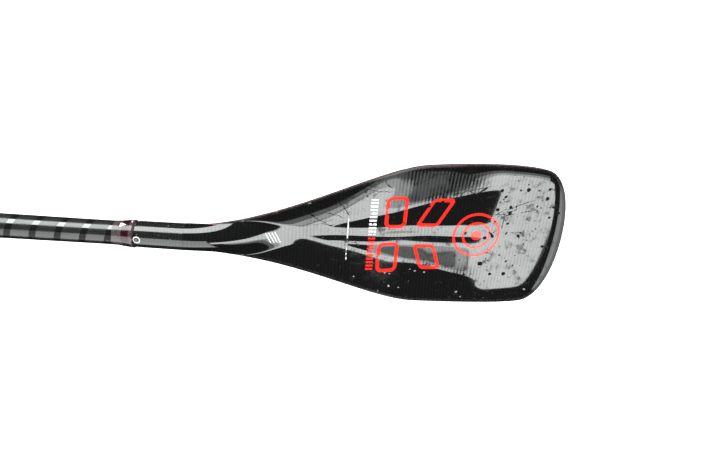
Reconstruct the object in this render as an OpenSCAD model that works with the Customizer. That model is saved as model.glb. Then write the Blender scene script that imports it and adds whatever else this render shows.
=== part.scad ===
// Adjustable stand-up paddle: a single raked blade, a spiral-marked main shaft with
// a snap-button blade joint, a lever clamp and a sliding extension with a T-grip.
// Units: mm. X = shaft axis, +X towards the blade tip. +Z = power face side.
// Origin: on the shaft axis, in the middle of the plain main shaft.

/* [Blade] */
// distance along X from the origin to the bend at the root of the blade
bend_x = 600; // [560:5:640]
// length from the bend to the tip
blade_l = 437.5; // [400:0.5:460]
// half width of the blade at its widest
blade_hw = 97.5; // [88:0.5:106]
// rake of the blade against the shaft, degrees
rake = 9; // [5:0.5:13]
// how far the tip curls forward
scoop = 17.2; // [5:0.1:25]
// half thickness of the blade wings at the edge
edge_t = 2.2; // [1.6:0.1:3.5]
// slope of the two flanks of the middle ridge
flank = 0.11; // [0.05:0.01:0.16]
// extra slope into the groove between the two crests
groove = 0.075; // [0:0.01:0.1]
// upward slope of the wings near the neck
wing_a = 0.075; // [0:0.005:0.1]
// upward slope of the wings further out
wing_b = 0.085; // [0:0.005:0.15]
// upward slope of the wings where the blade is widest
wing_c = 0.18; // [0:0.01:0.25]
// slope of the raised lip at the edge near the neck
lip_a = 0.40; // [0:0.02:0.5]
// slope of the raised lip at the tip
lip_b = 0.40; // [0:0.02:0.5]
// thickness of the carbon skins
skin_t = 1.0; // [0.6:0.1:1.4]
// width of the edge rail
rail_w = 4; // [2.5:0.5:7]

/* [Neck and joint] */
// outer radius of the neck where it meets the blade
neck_r = 15.9; // [15:0.1:17]
// outer radius of the neck near its mouth
mouth_r = 15.55; // [15:0.05:16.5]
// X of the mouth of the neck
mouth_x = 520; // [514:0.2:524]
// bore radius of the neck liner
liner_bore_r = 12.95; // [12.5:0.05:13.2]
// wall of the neck liner
liner_wall = 0.95; // [0.8:0.05:1.4]
// radius of the spigot inside the neck
spigot_r = 12.9; // [12.4:0.05:13.1]
// inner radius of the spigot
spigot_bore_r = 10.5; // [9.5:0.1:11]
// free end of the spigot
spigot_end_x = 565.8; // [556:0.2:570]
// largest radius of the tapered collar
collar_r = 16.4; // [16:0.1:18]
// radius of the snap button
button_r = 3; // [2.5:0.1:3]
// X of the snap button
button_x = 524.4; // [523:0.1:528]
// how far the button is pressed
button_travel = 3.8; // [3:0.1:4.2]

/* [Shaft] */
// outer radius of the main shaft
shaft_r = 14.5; // [14:0.1:15.5]
// radius of the main shaft at the collar
shaft_end_r = 14.05; // [13.9:0.05:14.3]
// bore radius of the main shaft
shaft_bore_r = 12.8; // [12.4:0.05:13.2]
// X of the clamp end of the main shaft
shaft_start_x = -530; // [-540:5:-500]
// outer radius of the extension tube
ext_r = 12.7; // [12.3:0.05:12.75]
// bore radius of the extension tube
ext_bore_r = 11.4; // [10.8:0.1:11.8]
// X of the inner end of the extension tube
ext_end_x = -50; // [-120:5:-20]

/* [Clamp] */
// outer radius of the clamp sleeve
clamp_r = 18.4; // [17.5:0.1:20]
// X of the clamp bolt
bolt_x = -524; // [-526:1:-518]
// Y of the clamp bolt
bolt_y = 22; // [21:0.5:23.5]
// Z of the barrel the lever turns on
barrel_z = 12; // [11.8:0.1:12.4]
// radius of the lever barrel
barrel_r = 3; // [2.6:0.1:3.2]
// width of the lever
lever_w = 14; // [12:0.5:16]

/* [Grip] */
// X of the middle of the T-bar
grip_x = -617; // [-622:1:-612]
// half length of the T-bar core
grip_half = 46; // [42:1:55]
// radius of the T-bar core in the middle
grip_core_r = 11.6; // [10:0.2:12.4]
// radius of the soft pad in the middle
grip_pad_r = 14.8; // [13.6:0.2:17]
// outer radius of the grip stem
stem_r = 15.4; // [14.8:0.1:16.5]

/* [Hidden] */
$fn = 96;
root_s = -24;
root_x = bend_x + root_s;
ta = tan(rake);
kw = blade_hw / 97.5;
kl = blade_l / 437.5;

// ---------- blade shape ----------
// control points of half the outline: [distance from the bend, half width]
OA = [[root_s, neck_r], [91 * kl, 19.5 * kw], [192 * kl, 89.5 * kw], [256 * kl, 94.3 * kw]];
OB = [[256 * kl, 94.3 * kw], [298 * kl, 97.4 * kw], [391 * kl, 101.3 * kw], [409 * kl, 90 * kw]];
OC = [[409 * kl, 90 * kw], [429 * kl, 77.4 * kw], [blade_l, 39 * kw], [blade_l, 0]];
function bz(p, t) = p[0] * pow(1 - t, 3) + p[1] * 3 * t * pow(1 - t, 2)
  + p[2] * 3 * t * t * (1 - t) + p[3] * pow(t, 3);
function bd(p, t) = (p[1] - p[0]) * pow(1 - t, 2) + (p[2] - p[1]) * 2 * t * (1 - t)
  + (p[3] - p[2]) * t * t;
function nrm(d) = [-d[1], d[0]] / norm(d);
function clamp01(v) = max(0, min(1, v));
function sstep(v) = let (q = clamp01(v)) q * q * (3 - 2 * q);
function inset(s) = rail_w * sstep((s - root_s) / 100);
na = 14;
nb = 7;
nc = 9;
OUT = concat([for (i = [0 : na - 1]) bz(OA, i / na)], [for (i = [0 : nb - 1]) bz(OB, i / nb)],
  [for (i = [0 : nc]) bz(OC, i / nc * 0.985)]);
DER = concat([for (i = [0 : na - 1]) bd(OA, i / na)], [for (i = [0 : nb - 1]) bd(OB, i / nb)],
  [for (i = [0 : nc]) bd(OC, i / nc * 0.985)]);
NS = len(OUT);
INN = [for (i = [0 : NS - 1]) OUT[i] - nrm(DER[i]) * inset(OUT[i][0])];
ROUND = [for (i = [0 : NS - 1]) OUT[i] - nrm(DER[i]) * min(1.1, 0.4 * inset(OUT[i][0]))];

// centre surface of the blade: bend at the root, then a straight rake, then the curl
function zc(s) = (s <= -40 ? 0 : s >= 40 ? -ta * s : -ta * pow(s + 40, 2) / 160)
  + scoop * pow(max(s, 0) / blade_l, 5);
function te(s) = 0.5 + (edge_t - 0.5) * sstep((s - root_s) / 90) - 0.7 * sstep((s - 300) / 130);
function bump(q, n) = q >= 1 ? 0 : pow(1 - q * q, n);
function pw(s) = 0.5 + 1.2 * sstep((s - root_s) / 90);
// distance from a point [s, half width] to the outline
function segd(p, a, b) = let (d = b - a, t = clamp01(((p - a) * d) / (d * d))) norm(p - a - t * d);
function edge_d(p) = min([for (i = [0 : NS - 2]) segd(p, OUT[i], OUT[i + 1])]);
function ow(s) = lookup(s, OUT);
// crest of the neck where it sinks into the blade
function sink_w(s) = let (q = sstep((s - 25) / 75))
  (1 - q) * max(ow(s) - 0.02 * max(s + 24, 0), neck_r) + q * 13;
function pwn(s) = 0.5 + 1.3 * sstep((s - root_s) / 80);
function sink(s, y) = (neck_r - 0.5) * (1 - sstep((s - root_s) / 135))
  * bump(abs(y) / sink_w(s), pwn(s));
// double-crested ridge between two valley lines that spread towards the tip
function valley(s) = max(10 + 0.26 * (s - 140), 3);
function crest(s) = min(max(4, min(22, 9 + 0.03 * (s - 140))), valley(s) * 0.9);
function soft(v, w) = 0.5 * (v + sqrt(v * v + w * w));
function ridge(s, y) = sstep((s - 95) / 50) * (1 - sstep((s - 290) / 90))
  * (flank * soft(valley(s) - abs(y), 3) - (flank + groove) * soft(crest(s) - abs(y), 2));
// wings that rise outwards, with a raised lip along the edge
function near(s) = 1 - sstep((s - 140) / 80);
function far(s) = sstep((s - 270) / 100);
function lip_e(s) = (lip_a * near(s) + lip_b * far(s) + 0.12 * (1 - near(s)) * (1 - far(s)))
  * sstep((s - 5) / 60);
function lip_w(s) = (8 + 32 * sstep((s - 15) / 90)) * near(s) + 27 * (1 - near(s));
function wing_k(s) = (wing_a + (wing_b - wing_a) * sstep((s - 130) / 80)
  + (wing_c - wing_b) * sstep((s - 190) / 80)) * sstep((s - 45) / 30) * (1 - sstep((s - 305) / 50));
function wing(s, a) = let (u = max(a - valley(s), 0)) wing_k(s) * u * u / (u + 4);
function dish(s, y) = let (a = abs(y), e = lip_e(s) * lip_w(s) / 3, w = ow(s))
  e * (pow(clamp01(1 - edge_d([s, a]) / lip_w(s)), 3) - 1) + wing(s, a) - wing(s, w)
  + 0.00035 * sstep((s - 300) / 60) * (a * a - w * w);
// spine on the back
function spine(s, y) = (neck_r - 0.5) * pow(clamp01(1 - (s - root_s) / 380), 1.7)
  * bump(abs(y) / (neck_r + 0.05 * (s - root_s)), pw(s));
function mid(s, y) = zc(s) + dish(s, y);
function up(s, y) = te(s) + sink(s, y) + ridge(s, y);
function dn(s, y) = te(s) + spine(s, y);
function inner(h, g) = max(h - skin_t, 0.15 * h) - g;

nj = 22;
C = [for (j = [0 : nj]) let (u = -1 + 2 * j / nj) 0.35 * u + 0.65 * sin(90 * u)];
// a grid of points over the blade; m picks which surface
function lvl(m, s, y) = m == 0 ? up(s, y) : m == 1 ? inner(up(s, y), 0)
  : m == 2 ? inner(up(s, y), 0.05) : m == 3 ? -inner(dn(s, y), 0.05)
  : m == 4 ? -inner(dn(s, y), 0) : -dn(s, y);
function grid(m) = [for (i = [0 : NS - 1]) for (j = [0 : nj])
  let (s = INN[i][0], y = INN[i][1] * C[j]) [bend_x + s, y, mid(s, y) + lvl(m, s, y)]];

// solid between two grids, the first above the second
module slab(a, b) {
  w = nj + 1;
  n = NS * w;
  polyhedron(points = concat(grid(a), grid(b)), faces = concat(
    [for (i = [0 : NS - 2]) for (j = [0 : nj - 1])
      [i * w + j, i * w + j + 1, (i + 1) * w + j]],
    [for (i = [0 : NS - 2]) for (j = [0 : nj - 1])
      [i * w + j + 1, (i + 1) * w + j + 1, (i + 1) * w + j]],
    [for (i = [0 : NS - 2]) for (j = [0 : nj - 1])
      [n + i * w + j, n + (i + 1) * w + j, n + i * w + j + 1]],
    [for (i = [0 : NS - 2]) for (j = [0 : nj - 1])
      [n + i * w + j + 1, n + (i + 1) * w + j, n + (i + 1) * w + j + 1]],
    [for (i = [0 : NS - 2]) [i * w, (i + 1) * w, n + i * w]],
    [for (i = [0 : NS - 2]) [(i + 1) * w, n + (i + 1) * w, n + i * w]],
    [for (i = [0 : NS - 2]) [i * w + nj, n + i * w + nj, (i + 1) * w + nj]],
    [for (i = [0 : NS - 2]) [(i + 1) * w + nj, n + i * w + nj, n + (i + 1) * w + nj]],
    [for (j = [0 : nj - 1]) [j, n + j, j + 1]],
    [for (j = [0 : nj - 1]) [j + 1, n + j, n + j + 1]],
    [for (j = [0 : nj - 1]) [n - w + j, n - w + j + 1, 2 * n - w + j]],
    [for (j = [0 : nj - 1]) [n - w + j + 1, 2 * n - w + j + 1, 2 * n - w + j]]));
}

module blade_face_skin() {
  color([0.06, 0.06, 0.065]) slab(0, 1);
}

module blade_back_skin() {
  color([0.05, 0.05, 0.055]) slab(4, 5);
}

module blade_core() {
  color([0.85, 0.85, 0.8]) slab(2, 3);
}

// edge rail: a strip of six-sided section that runs round the blade from neck to neck
rail_i = 1;
function rail_pt(i, q, sg) = let (
    a = q == 0 || q == 5 ? INN[i] : q == 1 || q == 4 ? ROUND[i] : OUT[i],
    h = q == 0 || q == 1 ? up(a[0], a[1]) : q == 4 || q == 5 ? -dn(a[0], a[1])
      : q == 2 ? te(a[0]) * 0.5 : -te(a[0]) * 0.5)
  [bend_x + a[0], sg * a[1], mid(a[0], a[1]) + h];
module blade_edge_rail() {
  m = NS - rail_i;
  pts = concat([for (i = [rail_i : NS - 1]) for (q = [0 : 5]) rail_pt(i, q, 1)],
    [for (i = [NS - 1 : -1 : rail_i]) for (q = [0 : 5]) rail_pt(i, q, -1)]);
  k = 2 * m;
  color([0.03, 0.03, 0.03]) polyhedron(points = pts, faces = concat(
    [for (i = [0 : k - 2]) for (q = [0 : 5])
      [i * 6 + q, (i + 1) * 6 + q, i * 6 + (q + 1) % 6]],
    [for (i = [0 : k - 2]) for (q = [0 : 5])
      [i * 6 + (q + 1) % 6, (i + 1) * 6 + q, (i + 1) * 6 + (q + 1) % 6]],
    [[0, 1, 5], [1, 4, 5], [1, 2, 4], [2, 3, 4]],
    [for (t = [[0, 5, 1], [1, 5, 4], [1, 4, 2], [2, 4, 3]])
      [for (v = t) (k - 1) * 6 + v]]));
}

// ---------- solids of revolution about the shaft axis ----------
// p is a list of [x, r]
module turned(p) {
  rotate([90, 0, 90]) rotate_extrude() polygon([for (v = p) [v[1], v[0]]]);
}

module tube_x(x0, x1, ro, ri) {
  turned([[x0, ri], [x0, ro], [x1, ro], [x1, ri]]);
}

module rod_x(x0, x1, r) {
  translate([x0, 0, 0]) rotate([0, 90, 0]) cylinder(h = x1 - x0, r = r);
}

module button_hole(r) {
  translate([button_x, 0, 4]) cylinder(h = 20, r = r);
}

// ---------- neck and blade joint ----------
liner_r = liner_bore_r + liner_wall;
module neck_tube() {
  color([0.05, 0.05, 0.055]) difference() {
    turned([[mouth_x, liner_r + 0.02], [mouth_x, mouth_r - 0.75], [mouth_x + 1.2, mouth_r - 0.35],
      [mouth_x + 4.6, mouth_r - 0.1], [mouth_x + 9, mouth_r], [mouth_x + 21, mouth_r + 0.05],
      [mouth_x + 38, mouth_r + 0.2], [root_x - 0.05, neck_r], [root_x - 0.05, liner_r + 0.02]]);
    button_hole(button_r + 0.1);
  }
}

module neck_liner() {
  color([0.7, 0.7, 0.72]) difference() {
    tube_x(mouth_x, root_x - 0.05, liner_r, liner_bore_r);
    button_hole(button_r + 0.1);
  }
}

module joint_gasket() {
  color([0.1, 0.1, 0.1]) tube_x(mouth_x - 0.85, mouth_x - 0.02, mouth_r - 0.95, spigot_r + 0.03);
}

collar_x0 = 495.8;
collar_x1 = mouth_x - 0.9;
tube_x1 = collar_x0 + 15;
band_x0 = 506.8;
band_x1 = 515.3;
module collar_shape() {
  turned([[collar_x0, shaft_end_r + 0.03], [collar_x0, shaft_end_r + 0.2],
    [collar_x0 + 5.5, shaft_end_r + 0.4], [collar_x0 + 10, 15.1], [collar_x0 + 16, 15.75],
    [collar_x1 - 0.8, collar_r], [collar_x1, collar_r - 0.5], [collar_x1, spigot_r + 0.03],
    [tube_x1 + 0.1, spigot_r + 0.03], [tube_x1 + 0.1, shaft_end_r + 0.03]]);
}

module taper_collar() {
  color([0.28, 0.26, 0.27]) difference() {
    collar_shape();
    tube_x(band_x0, band_x1, 20, 15);
  }
}

module collar_band() {
  color([0.2, 0.05, 0.07]) intersection() {
    collar_shape();
    tube_x(band_x0 + 0.02, band_x1 - 0.02, 20, 15.02);
  }
}

module spigot() {
  color([0.75, 0.75, 0.77]) difference() {
    turned([[460, spigot_bore_r], [460, shaft_bore_r - 0.05], [tube_x1, shaft_bore_r - 0.05],
      [tube_x1 + 0.08, spigot_r], [spigot_end_x - 1.5, spigot_r], [spigot_end_x, spigot_r - 1],
      [spigot_end_x, spigot_bore_r]]);
    button_hole(button_r + 0.05);
  }
}

module spigot_plug() {
  color([0.15, 0.15, 0.15]) difference() {
    union() {
      rod_x(spigot_end_x - 6, spigot_end_x + 0.5, spigot_bore_r - 0.02);
      rod_x(spigot_end_x + 0.02, spigot_end_x + 1.5, spigot_bore_r + 0.8);
    }
    rod_x(spigot_end_x - 7, spigot_end_x - 1.5, spigot_bore_r - 2);
  }
}

// leaf spring: a strip folded back on itself, one leg on the spigot wall
module snap_spring() {
  color([0.8, 0.8, 0.82]) translate([button_x, 3, 0]) rotate([90, 0, 0]) linear_extrude(6)
    polygon([[-5.6, -10.0], [30.4, -10.0], [32.9, -8.2], [32.9, -6.2], [30.9, -4.6], [3.4, 7.7],
      [-4.6, 7.7], [-4.6, 6.9], [3.2, 6.9], [30.4, -5.4], [32, -6.6], [32, -7.8],
      [30.1, -9.2], [-5.6, -9.2]]);
}

module snap_button() {
  color([0.85, 0.85, 0.87]) translate([button_x, 0, 7.85]) rotate_extrude()
    polygon([[0, 0], [button_r + 1.2, 0], [button_r + 1.2, 0.9], [button_r, 0.9],
      [button_r, 7.5], [button_r - 0.3, 8.1], [button_r - 1, 8.5], [0, 8.65]]);
}

// ---------- main shaft ----------
module main_shaft_tube() {
  color([0.09, 0.09, 0.095]) turned([[shaft_start_x, shaft_bore_r], [shaft_start_x, shaft_r],
    [330, shaft_r], [486, shaft_end_r], [tube_x1, shaft_end_r], [tube_x1, shaft_bore_r]]);
}

// ---------- clamp ----------
module clamp_body() {
  color([0.07, 0.07, 0.07]) difference() {
    union() {
      turned([[-548, shaft_r], [-548, clamp_r - 1], [-547, clamp_r], [-506, clamp_r],
        [-498, shaft_r + 1.2], [-498, shaft_r]]);
      translate([bolt_x - 10, 10, -5]) cube([20, bolt_y - 3, 10]);
      translate([bolt_x - 10, bolt_y + 7, 0]) rotate([0, 90, 0]) cylinder(h = 20, r = 5);
    }
    rod_x(-560, -490, shaft_r + 0.03);
    translate([-560, 10, -1]) cube([50, 40, 2]);
    translate([bolt_x, bolt_y, -10]) cylinder(h = 20, r = 2.6);
    translate([-549, 3.55, -20]) mirror([0, 1, 0]) cube([12, 7.1, 8]);
  }
}

module clamp_bush() {
  color([0.8, 0.8, 0.78]) {
    difference() {
      turned([[-550.5, ext_r + 0.06], [-550.5, clamp_r - 1.4], [-548.05, clamp_r - 1.4],
        [-548.05, shaft_r], [-530.1, shaft_r], [-530.1, ext_r + 0.06]]);
      translate([-560, 10, -0.8]) cube([40, 20, 1.6]);
    }
    difference() {
      translate([-548.2, -3.5, -17]) cube([10, 7, 4]);
      rod_x(-560, -520, shaft_r - 0.5);
    }
  }
}

module clamp_bolt() {
  color([0.75, 0.75, 0.77]) translate([bolt_x, bolt_y, 0]) difference() {
    union() {
      translate([0, 0, -6.3]) cylinder(h = barrel_z + 6.3 + barrel_r, r = 2.4);
      translate([0, 0, -11.25]) cylinder(h = 5, r = 4.25);
    }
    translate([0, 0, -11.5]) cylinder(h = 2.8, r = 2.3, $fn = 6);
  }
}

module clamp_washers() {
  color([0.8, 0.8, 0.82]) for (z = [-6.24, 5.04]) translate([bolt_x, bolt_y, z])
    difference() {
      cylinder(h = 1.2, r = 4.2);
      translate([0, 0, -1]) cylinder(h = 4, r = 2.45);
    }
}

module lever_barrel() {
  color([0.78, 0.78, 0.8]) difference() {
    translate([bolt_x - lever_w / 2, bolt_y, barrel_z]) rotate([0, 90, 0])
      cylinder(h = lever_w, r = barrel_r);
    translate([bolt_x, bolt_y, 0]) cylinder(h = 30, r = 2.42);
  }
}

lever_ri = clamp_r + 0.6;
lever_ro = lever_ri + 3.5;
module lever_shape() {
  // eccentric hub
  translate([bolt_y, barrel_z - 0.5]) circle(r = 5.2);
  // arm that wraps over the clamp
  intersection() {
    difference() {
      circle(r = lever_ro);
      circle(r = lever_ri);
    }
    polygon([[0, 0], [60, 29], [60, 60], [-60, 60], [-60, 30]]);
  }
  // thick root of the arm
  intersection() {
    difference() {
      circle(r = lever_ro + 3);
      circle(r = lever_ri);
    }
    polygon([[0, 0], [60, 33], [60, 60], [38, 60]]);
  }
  // flared tip for the finger
  translate([-19.6, 11.1]) rotate(28) square([8, 3.2], center = true);
}

module clamp_lever() {
  color([0.08, 0.08, 0.08]) difference() {
    translate([bolt_x - lever_w / 2, 0, 0]) rotate([90, 0, 90]) linear_extrude(lever_w)
      lever_shape();
    translate([bolt_x - 20, bolt_y, barrel_z]) rotate([0, 90, 0])
      cylinder(h = 40, r = barrel_r + 0.05);
    translate([bolt_x - 3, bolt_y, barrel_z]) rotate([0, 90, 0]) cylinder(h = 6, r = 8.6);
  }
}

// ---------- extension and T-grip ----------
module extension_tube() {
  color([0.16, 0.16, 0.165]) difference() {
    tube_x(grip_x + 17, ext_end_x, ext_r, ext_bore_r);
    translate([-580, 0, -30]) cylinder(h = 60, r = 2.05);
  }
}

module extension_guide() {
  color([0.2, 0.2, 0.2]) turned([[ext_end_x - 14, ext_bore_r - 1.6],
    [ext_end_x - 14, ext_bore_r - 0.03], [ext_end_x + 0.05, ext_bore_r - 0.03],
    [ext_end_x + 0.05, shaft_bore_r - 0.04], [ext_end_x + 6, shaft_bore_r - 0.04],
    [ext_end_x + 7, shaft_bore_r - 1], [ext_end_x + 7, 0], [ext_end_x + 5, 0],
    [ext_end_x + 5, ext_bore_r - 1.6]]);
}

// profile of the T-bar: radius against distance from the middle
function bar_r(y, r) = r - 1.9 * pow(y / grip_half, 2);
module bar_solid(r, h) {
  n = 8;
  translate([grip_x, 0, 0]) rotate([-90, 0, 0]) rotate_extrude()
    polygon(concat([[0, -h]], [for (i = [-n : n]) [bar_r(h * i / n, r), h * i / n]], [[0, h]]));
}

module stem_solid(g) {
  turned([[grip_x, 0], [grip_x, stem_r - 0.9 + g], [grip_x + 20, stem_r - 0.6 + g],
    [grip_x + 50, stem_r + g], [-558.5, stem_r + g], [-557, stem_r - 1.5 + g], [-557, 0]]);
}

module grip_core() {
  color([0.12, 0.12, 0.12]) difference() {
    union() {
      bar_solid(grip_core_r, grip_half);
      difference() {
        stem_solid(0);
        translate([grip_x - 30, -30, -30]) cube([30, 60, 60]);
      }
    }
    rod_x(grip_x + 16.9, -540, ext_r + 0.03);
    translate([-580, 0, -30]) cylinder(h = 60, r = 2.05);
  }
}

module grip_pad() {
  color([0.05, 0.05, 0.05]) difference() {
    bar_solid(grip_pad_r, grip_half - 0.5);
    bar_solid(grip_core_r + 0.03, grip_half + 0.5);
    stem_solid(0.05);
    translate([grip_x + 5, -30, -30]) cube([30, 60, 60]);
  }
}

module grip_caps() {
  color([0.1, 0.1, 0.1]) for (m = [0, 1]) mirror([0, m, 0])
    translate([grip_x, grip_half + 0.05, 0]) rotate([-90, 0, 0]) rotate_extrude()
      polygon([[0, 0], [12.6, 0], [12.4, 1.6], [11.2, 2.8], [8, 3.7], [4, 4.1], [0, 4.2]]);
}

module grip_pin() {
  color([0.8, 0.8, 0.82]) translate([-580, 0, -15.3]) rotate_extrude()
    polygon([[0, 0], [2, 0], [2, 30.6], [0, 30.6]]);
}

blade_face_skin();
blade_back_skin();
blade_core();
blade_edge_rail();
neck_tube();
neck_liner();
joint_gasket();
taper_collar();
collar_band();
main_shaft_tube();
spigot();
spigot_plug();
snap_spring();
snap_button();
clamp_body();
clamp_bush();
clamp_bolt();
clamp_washers();
lever_barrel();
clamp_lever();
extension_tube();
extension_guide();
grip_core();
grip_pad();
grip_caps();
grip_pin();
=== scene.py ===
import math
import bpy
import numpy as np
from mathutils import Matrix, Vector


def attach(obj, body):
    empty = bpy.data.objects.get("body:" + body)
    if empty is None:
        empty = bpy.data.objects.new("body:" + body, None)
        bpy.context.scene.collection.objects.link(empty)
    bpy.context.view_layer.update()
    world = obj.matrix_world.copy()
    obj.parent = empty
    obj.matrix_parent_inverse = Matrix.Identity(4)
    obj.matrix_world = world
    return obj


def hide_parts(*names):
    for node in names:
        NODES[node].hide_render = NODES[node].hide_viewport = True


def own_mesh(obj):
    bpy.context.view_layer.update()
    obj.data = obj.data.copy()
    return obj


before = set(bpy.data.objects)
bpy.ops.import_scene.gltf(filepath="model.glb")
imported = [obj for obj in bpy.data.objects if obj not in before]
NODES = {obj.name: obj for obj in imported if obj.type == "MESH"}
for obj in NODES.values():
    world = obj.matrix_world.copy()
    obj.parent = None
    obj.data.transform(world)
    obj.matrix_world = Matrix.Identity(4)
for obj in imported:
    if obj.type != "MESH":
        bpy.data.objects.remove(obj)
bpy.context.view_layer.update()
SCENE = bpy.context.scene
COLLECTION = SCENE.collection
MM = 0.001

# ------------------------------------------------------------------ blade shape (mm)
# s runs along the blade from the bend, y runs across it, and a is y without its sign
ROOT_S = -24.0    # where the neck starts to flatten
NECK_R = 15.9     # radius of the round neck
BEND_X = 600.0    # place of the bend along the shaft
BLADE_L = 437.5   # length of the blade from the bend
RAKE = math.tan(math.radians(9.0))
SCOOP = 17.2      # how far the tip curves up from the straight rake
EDGE_T = 2.2      # half thickness at the edge
RAIL_W = 4.0      # width of the edge strip
RAIL_R = 1.1      # length of the rounding of the edge strip
SKIN_T = 1.0      # thickness of the carbon skins
CORE_FILL = 0.9   # width of the foam over the width inside the edge strip
SHARP_ANGLE = 50  # edges sharper than this stay hard (degrees)
FLANK, GROOVE = 0.11, 0.075                 # slopes of the ridge's flanks and of its groove
LIP_A, LIP_B, LIP_MID = 0.40, 0.40, 0.12    # slope of the lip near the neck, near the tip and between
WING_A, WING_B, WING_C = 0.075, 0.085, 0.18  # slope of the wings at the neck, the middle and the wide part
# half outline as three cubic curves: neck with shoulder, side, tip
OUTLINE_A = [(-24, 15.9), (91, 19.5), (192, 89.5), (256, 94.3)]
OUTLINE_B = [(256, 94.3), (298, 97.4), (391, 101.3), (409, 90)]
OUTLINE_C = [(409, 90), (429, 77.4), (437.5, 39), (437.5, 0)]


def bezier(p, t):
    """Point at t on the cubic curve with control points p."""
    p = np.array(p, float)
    return p[0] * (1 - t) ** 3 + p[1] * 3 * t * (1 - t) ** 2 + p[2] * 3 * t * t * (1 - t) + p[3] * t ** 3


def bezier_direction(p, t):
    """Direction at t of the cubic curve with control points p."""
    p = np.array(p, float)
    return (p[1] - p[0]) * (1 - t) ** 2 + (p[2] - p[1]) * 2 * t * (1 - t) + (p[3] - p[2]) * t * t


def smooth_step(v):
    """Smooth step from 0 to 1."""
    q = np.clip(v, 0, 1)
    return q * q * (3 - 2 * q)


def centre_z(s):
    """Height of the blade's middle line."""
    s = np.asarray(s, float)
    base = np.where(s <= -40, 0, np.where(s >= 40, -RAKE * s, -RAKE * (s + 40) ** 2 / 160))
    return base + SCOOP * (np.maximum(s, 0) / BLADE_L) ** 5


def half_thick(s):
    """Half thickness of the blade without its ridges."""
    return 0.5 + (EDGE_T - 0.5) * smooth_step((s - ROOT_S) / 90) - 0.7 * smooth_step((s - 300) / 130)


def bump(q, n):
    """Rounded hump over q from 0 to 1."""
    return np.where(q >= 1, 0, np.maximum(1 - q * q, 0) ** n)


def spine_power(s):
    """How sharply the spine's hump falls off."""
    return 0.5 + 1.2 * smooth_step((s - ROOT_S) / 90)


def dense_outline():
    """Closely spaced points along the half outline."""
    rows = []
    for seg, n in ((OUTLINE_A, 60), (OUTLINE_B, 30), (OUTLINE_C, 60)):
        rows += [bezier(seg, i / n) for i in range(n)]
    rows.append(bezier(OUTLINE_C, 1.0))
    return np.array(rows)


DENSE = dense_outline()


def width(s):
    """Half width of the blade."""
    return np.interp(s, DENSE[:, 0], DENSE[:, 1])


def edge_distance(s, a):
    """Distance from points to the outline."""
    s, a = np.broadcast_arrays(np.asarray(s, float), np.asarray(a, float))
    best = np.full(s.shape, 1e9)
    for p, q in zip(DENSE[:-1], DENSE[1:]):
        d = q - p
        t = np.clip(((s - p[0]) * d[0] + (a - p[1]) * d[1]) / (d @ d), 0, 1)
        best = np.minimum(best, np.hypot(s - p[0] - t * d[0], a - p[1] - t * d[1]))
    return best


def sink(s, y):
    """Neck that sinks into the power face. Its sides are fuller than the CAD model's."""
    q = smooth_step((s - 25) / 75)
    hw = (1 - q) * np.maximum(width(s) - 0.02 * np.maximum(s + 24, 0), NECK_R) + q * 13
    p = 0.5 + 0.6 * smooth_step((s - ROOT_S) / 80)
    return (NECK_R - 0.5) * (1 - smooth_step((s - ROOT_S) / 135)) * bump(abs(y) / hw, p)


def valley(s):
    """Distance of the valley line from the middle line."""
    return np.maximum(10 + 0.26 * (s - 140), 3.0)


def crest(s):
    """Distance of the ridge's two crests from the middle line."""
    return np.minimum(np.clip(9 + 0.03 * (s - 140), 4, 22), valley(s) * 0.9)


def soft(v, w):
    """The larger of v and 0, rounded over the width w."""
    return 0.5 * (v + np.sqrt(v * v + w * w))


def ridge(s, y):
    """Ridge with a groove along its middle."""
    a = abs(y)
    return smooth_step((s - 95) / 50) * (1 - smooth_step((s - 290) / 90)) * (
        FLANK * soft(valley(s) - a, 3) - (FLANK + GROOVE) * soft(crest(s) - a, 2))


def wing(s, a):
    """Rise from the valley line outwards."""
    u = np.maximum(a - valley(s), 0)
    k = WING_A + (WING_B - WING_A) * smooth_step((s - 130) / 80)
    k = k + (WING_C - WING_B) * smooth_step((s - 190) / 80)
    return k * smooth_step((s - 45) / 30) * (1 - smooth_step((s - 305) / 50)) * u * u / (u + 4)


def dish(s, y):
    """Raised lip and wings, which end at the edge's own height."""
    a, w = abs(y), width(s)
    near, far = 1 - smooth_step((s - 140) / 80), smooth_step((s - 270) / 100)
    e = (LIP_A * near + LIP_B * far + LIP_MID * (1 - near) * (1 - far)) * smooth_step((s - 5) / 60)
    b = (8 + 32 * smooth_step((s - 15) / 90)) * near + 27 * (1 - near)
    h = e * b / 3 * (np.clip(1 - edge_distance(s, a) / b, 0, 1) ** 3 - 1)
    return h + wing(s, a) - wing(s, w) + 0.00035 * smooth_step((s - 300) / 60) * (a * a - w * w)


def spine(s, y):
    """Spine on the back, which fades out towards the tip."""
    fade = np.clip(1 - (s - ROOT_S) / 380, 0, 1) ** 1.7
    return (NECK_R - 0.5) * fade * bump(abs(y) / (NECK_R + 0.05 * (s - ROOT_S)), spine_power(s))


def mid(s, y):
    """Surface between the two faces."""
    return centre_z(s) + dish(s, y)


def above(s, y):
    """Height of the power face over the middle surface."""
    return half_thick(s) + sink(s, y) + ridge(s, y)


def below(s, y):
    """Depth of the back under the middle surface."""
    return half_thick(s) + spine(s, y)


def z_top(s, y):
    """Height of the power face."""
    return mid(s, y) + above(s, y)


def z_bot(s, y):
    """Height of the back."""
    return mid(s, y) - below(s, y)


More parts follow.
